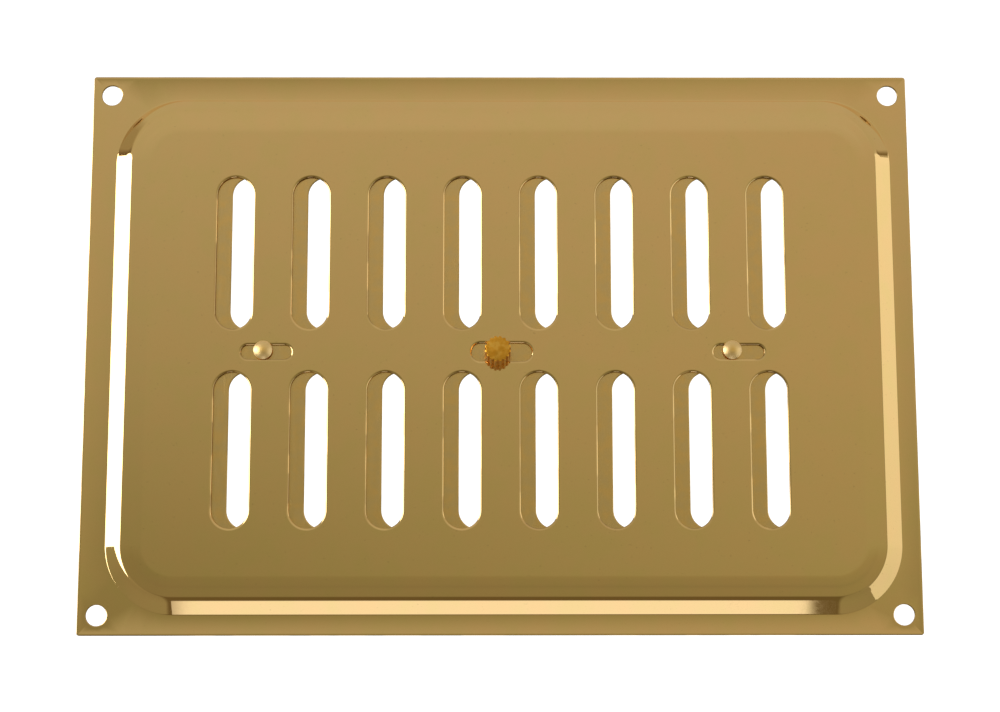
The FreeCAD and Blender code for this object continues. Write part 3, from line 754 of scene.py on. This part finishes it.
def add_studio(tree, across, up):
    """The colour of the warm studio in each direction that polished metal reflects."""
    height = add_range(tree, up, -1.0, 1.0, 0.0, 1.0)
    glow, gloom, spot_shade = (1.03, 1.05, 1.06), (0.15, 0.12, 0.06), (0.19, 0.15, 0.07)

    # In front the studio is lighter upward, and a little lighter on the right.
    left = add_ramp(tree, height, [
        (0.00, gloom), (0.34, (0.14, 0.11, 0.05)), (0.42, (0.24, 0.22, 0.13)),
        (0.50, (0.245, 0.235, 0.13)), (0.525, (0.27, 0.26, 0.15)), (0.575, (0.366, 0.349, 0.236)),
        (0.635, (0.45, 0.43, 0.32)), (0.70, (0.49, 0.46, 0.35)), (1.0, (0.48, 0.45, 0.34))])
    right = add_ramp(tree, height, [
        (0.00, gloom), (0.34, (0.14, 0.11, 0.05)), (0.42, (0.28, 0.26, 0.15)),
        (0.50, (0.33, 0.30, 0.17)), (0.525, (0.37, 0.35, 0.21)), (0.575, (0.43, 0.39, 0.255)),
        (0.635, (0.47, 0.42, 0.30)), (0.70, (0.50, 0.47, 0.36)), (1.0, (0.50, 0.46, 0.35))])
    front = add_mix(tree, add_range(tree, across, -0.22, 0.22, 0.0, 1.0), left, right)

    # A light panel lies low in front.
    low_glow = add_window(tree, across, start=(-0.17, -0.155), end=(0.162, 0.166))
    low_glow = add_math(tree, "MULTIPLY", low_glow, add_range(tree, up, -0.68, -0.76, 0.0, 1.0))
    front = add_mix(tree, low_glow, front, glow)

    # Round the sides, the front is wider above than below.
    around = add_ramp(tree, height, [
        (0.0, (0.30, 0.28, 0.17)), (0.30, (0.27, 0.25, 0.15)), (0.5, (0.32, 0.30, 0.18)),
        (0.64, (0.46, 0.43, 0.31)), (1.0, (0.49, 0.46, 0.35))])
    shade_tone = add_ramp(tree, height, [
        (0.66, (0.12, 0.09, 0.04)), (0.69, (0.15, 0.11, 0.06)), (0.72, (0.32, 0.28, 0.17)),
        (1.0, (0.34, 0.30, 0.19))])
    shade = add_math(tree, "MULTIPLY", add_range(tree, across, -0.60, -0.74, 0.0, 1.0),
                     add_range(tree, up, 0.30, 0.34, 0.0, 1.0))
    around = add_mix(tree, shade, around, shade_tone)
    spot = add_window(tree, up, start=(0.35, 0.365), end=(0.375, 0.425))
    spot = add_math(tree, "MULTIPLY", spot, add_range(tree, across, 0.78, 0.84, 0.0, 1.0))
    around = add_mix(tree, spot, around, spot_shade)
    spread = add_math(tree, "ABSOLUTE", across)
    widen = add_range(tree, up, -0.30, -0.12, 0.0, 0.2)
    side = add_range(tree, add_math(tree, "SUBTRACT", spread, widen), 0.205, 0.26, 0.0, 1.0)
    return add_mix(tree, side, front, around)


def make_world():
    """White behind the object and for soft light, and the studio for metal to reflect."""
    world = bpy.data.worlds.new("studio")
    bpy.context.scene.world = world
    world.use_nodes = True
    tree = world.node_tree
    tree.nodes.clear()
    output = tree.nodes.new("ShaderNodeOutputWorld")
    path = tree.nodes.new("ShaderNodeLightPath")
    place = tree.nodes.new("ShaderNodeTexCoord")
    split = tree.nodes.new("ShaderNodeSeparateXYZ")
    tree.links.new(place.outputs["Generated"], split.inputs["Vector"])
    studio = add_studio(tree, across=split.outputs["X"], up=split.outputs["Z"])
    reflected = tree.nodes.new("ShaderNodeBackground")
    tree.links.new(studio, reflected.inputs["Color"])
    plain = tree.nodes.new("ShaderNodeBackground")
    plain.inputs["Color"].default_value = (1.0, 1.0, 1.0, 1.0)
    plain.inputs["Strength"].default_value = 1.25
    chosen = tree.nodes.new("ShaderNodeMixShader")
    tree.links.new(path.outputs["Is Glossy Ray"], chosen.inputs["Fac"])
    tree.links.new(plain.outputs["Background"], chosen.inputs[1])
    tree.links.new(reflected.outputs["Background"], chosen.inputs[2])
    tree.links.new(chosen.outputs["Shader"], output.inputs["Surface"])


def add_softbox(name, near, far, height, radiance, colour):
    """A soft light that faces the plate, on a straight middle line between two places."""
    near, far = Vector(near), Vector(far)
    lamp = bpy.data.lights.new(name, "AREA")
    lamp.shape = "RECTANGLE"
    lamp.size = (far - near).length
    lamp.size_y = height
    lamp.color = colour
    lamp.energy = radiance * pi * lamp.size * lamp.size_y
    light = bpy.data.objects.new(name, lamp)
    middle = (near + far) / 2
    along = (far - near).normalized()
    behind = along.cross(Vector((0.0, 0.0, 1.0))).normalized()
    if behind.dot(middle) < 0:
        along = -along
        behind = -behind
    turn = Matrix((along, behind.cross(along), behind)).transposed()
    light.matrix_world = Matrix.Translation(middle) @ turn.to_4x4()
    light.visible_camera = False
    bpy.context.scene.collection.objects.link(light)


def make_floor():
    """A wide pale floor a little below the plate."""
    half = 4.0
    drop = cad_box[0].z - 35 * MM
    mesh = bpy.data.meshes.new("floor")
    corners = [(-half, -half, drop), (half, -half, drop), (half, half, drop), (-half, half, drop)]
    mesh.from_pydata(corners, [], [(0, 1, 2, 3)])
    floor = bpy.data.objects.new("floor", mesh)
    bpy.context.scene.collection.objects.link(floor)
    material, tree, shader, place = new_material("pale_floor")
    darker, lighter = (0.86, 0.86, 0.86), (0.88, 0.88, 0.88)
    shade = add_ramp(tree, add_noise(tree, place, 3.0), [(0.3, darker), (0.7, lighter)])
    tree.links.new(shade, shader.inputs["Base Color"])
    shader.inputs["Roughness"].default_value = 0.9
    shader.inputs["Specular IOR Level"].default_value = 0.1
    mesh.materials.append(material)
    floor.visible_glossy = False


def make_camera():
    """The camera in front of the plate, a little below its middle and looking slightly up."""
    data = bpy.data.cameras.new("camera")
    data.sensor_fit = "HORIZONTAL"
    data.sensor_width = 36.0
    data.lens = 69.01
    camera = bpy.data.objects.new("camera", data)
    place = Matrix.Translation((-3.1 * MM, -553.2 * MM, -88.9 * MM))
    pan = Matrix.Rotation(radians(-0.310), 4, "Z")
    level = 90.0
    tilt = Matrix.Rotation(radians(level + 8.960), 4, "X")
    roll = Matrix.Rotation(radians(-0.061), 4, "Z")
    camera.matrix_world = place @ pan @ tilt @ roll
    bpy.context.scene.collection.objects.link(camera)
    bpy.context.scene.camera = camera


# ---------------------------------------------------------------- the scene

make_camera()
make_world()
make_floor()
add_softbox(
    "softbox_left", near=(-0.42, -0.518, 0.0), far=(-2.40, 0.69, 0.583), height=0.47,
    radiance=3.4, colour=(1.0, 1.0, 1.0))
add_softbox(
    "softbox_right", near=(1.115, -1.64, -0.067), far=(1.115, 0.45, -0.389), height=1.445,
    radiance=0.53, colour=(0.94, 0.98, 1.0))
bpy.context.scene.view_settings.view_transform = "Standard"

face_brass = make_metal(
    "face_brass", ((0.93, 0.665, 0.30), (0.95, 0.66, 0.31), (0.965, 0.655, 0.31)), (0.03, 0.05),
    rubbed_and_painted_dark=(0.94, 0.67, 0.34), raw=(0.40, 0.24, 0.09), blotch=120.0, scratched=0.15)
shutter_brass = make_metal(
    "shutter_brass", ((0.85, 0.60, 0.28), (0.88, 0.605, 0.26), (0.93, 0.61, 0.24)), (0.17, 0.25),
    grain=(1.0, 1.0, 0.12), rubbed_and_painted_dark=(0.80, 0.56, 0.27), raw=(0.36, 0.22, 0.09), blotch=300.0,
    scratched=0.3)
rivet_brass = make_metal(
    "rivet_brass", ((0.93, 0.65, 0.23), (0.95, 0.62, 0.20), (0.96, 0.60, 0.17)), (0.42, 0.52),
    wave=0.05, rubbed_and_painted_dark=(0.96, 0.71, 0.38))
knob_brass = make_metal(
    "knob_brass", ((0.72, 0.33, 0.03), (0.82, 0.40, 0.045), (0.90, 0.50, 0.085)), (0.34, 0.52),
    wave=0.06, rubbed_and_painted_dark=(0.97, 0.60, 0.22), turned_at=middle_of("knob"), blotch=600.0)
washer_brass = make_metal(
    "washer_brass", ((0.88, 0.62, 0.30), (0.90, 0.62, 0.29), (0.92, 0.62, 0.28)), (0.25, 0.40),
    grain=(0.3, 1.0, 1.0), rubbed_and_painted_dark=(0.93, 0.68, 0.38))
spring_steel = make_metal(
    "spring_steel", ((0.50, 0.51, 0.54), (0.55, 0.55, 0.56), (0.57, 0.55, 0.52)), (0.22, 0.36),
    grain=(1.0, 1.0, 0.2), rubbed_and_painted_dark=(0.66, 0.66, 0.66))
screw_steel = make_metal(
    "screw_steel", ((0.60, 0.62, 0.66), (0.64, 0.64, 0.63), (0.68, 0.65, 0.56)), (0.20, 0.34),
    turned_at=middle_of("knob_screw"))


def finish_piece(piece, body, node, material):
    """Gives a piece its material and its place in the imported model."""
    piece.data.materials.append(material)
    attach(piece, body)
    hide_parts(node)


finish_piece(make_face_plate(), "face", "face_plate", face_brass)
finish_piece(make_shutter_plate(), "shutter", "shutter_plate", shutter_brass)
for hand in ("left", "right"):
    rivet = f"guide_rivet_{hand}"
    finish_piece(make_rivet(rivet), "shutter", rivet, rivet_brass)
    spring = f"spring_washer_{hand}"
    finish_piece(make_spring_washer(spring), "shutter", spring, spring_steel)
    backing = f"backing_washer_{hand}"
    finish_piece(make_washer(backing, WASHER_BORE), "shutter", backing, washer_brass)
finish_piece(make_knob(), "shutter", "knob", knob_brass)
knob_washer = make_washer("knob_washer", SHUTTER_KNOB_HOLE)
finish_piece(knob_washer, "shutter", "knob_washer", washer_brass)

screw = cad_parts["knob_screw"]
screw.data.materials.clear()
screw.data.materials.append(screw_steel)
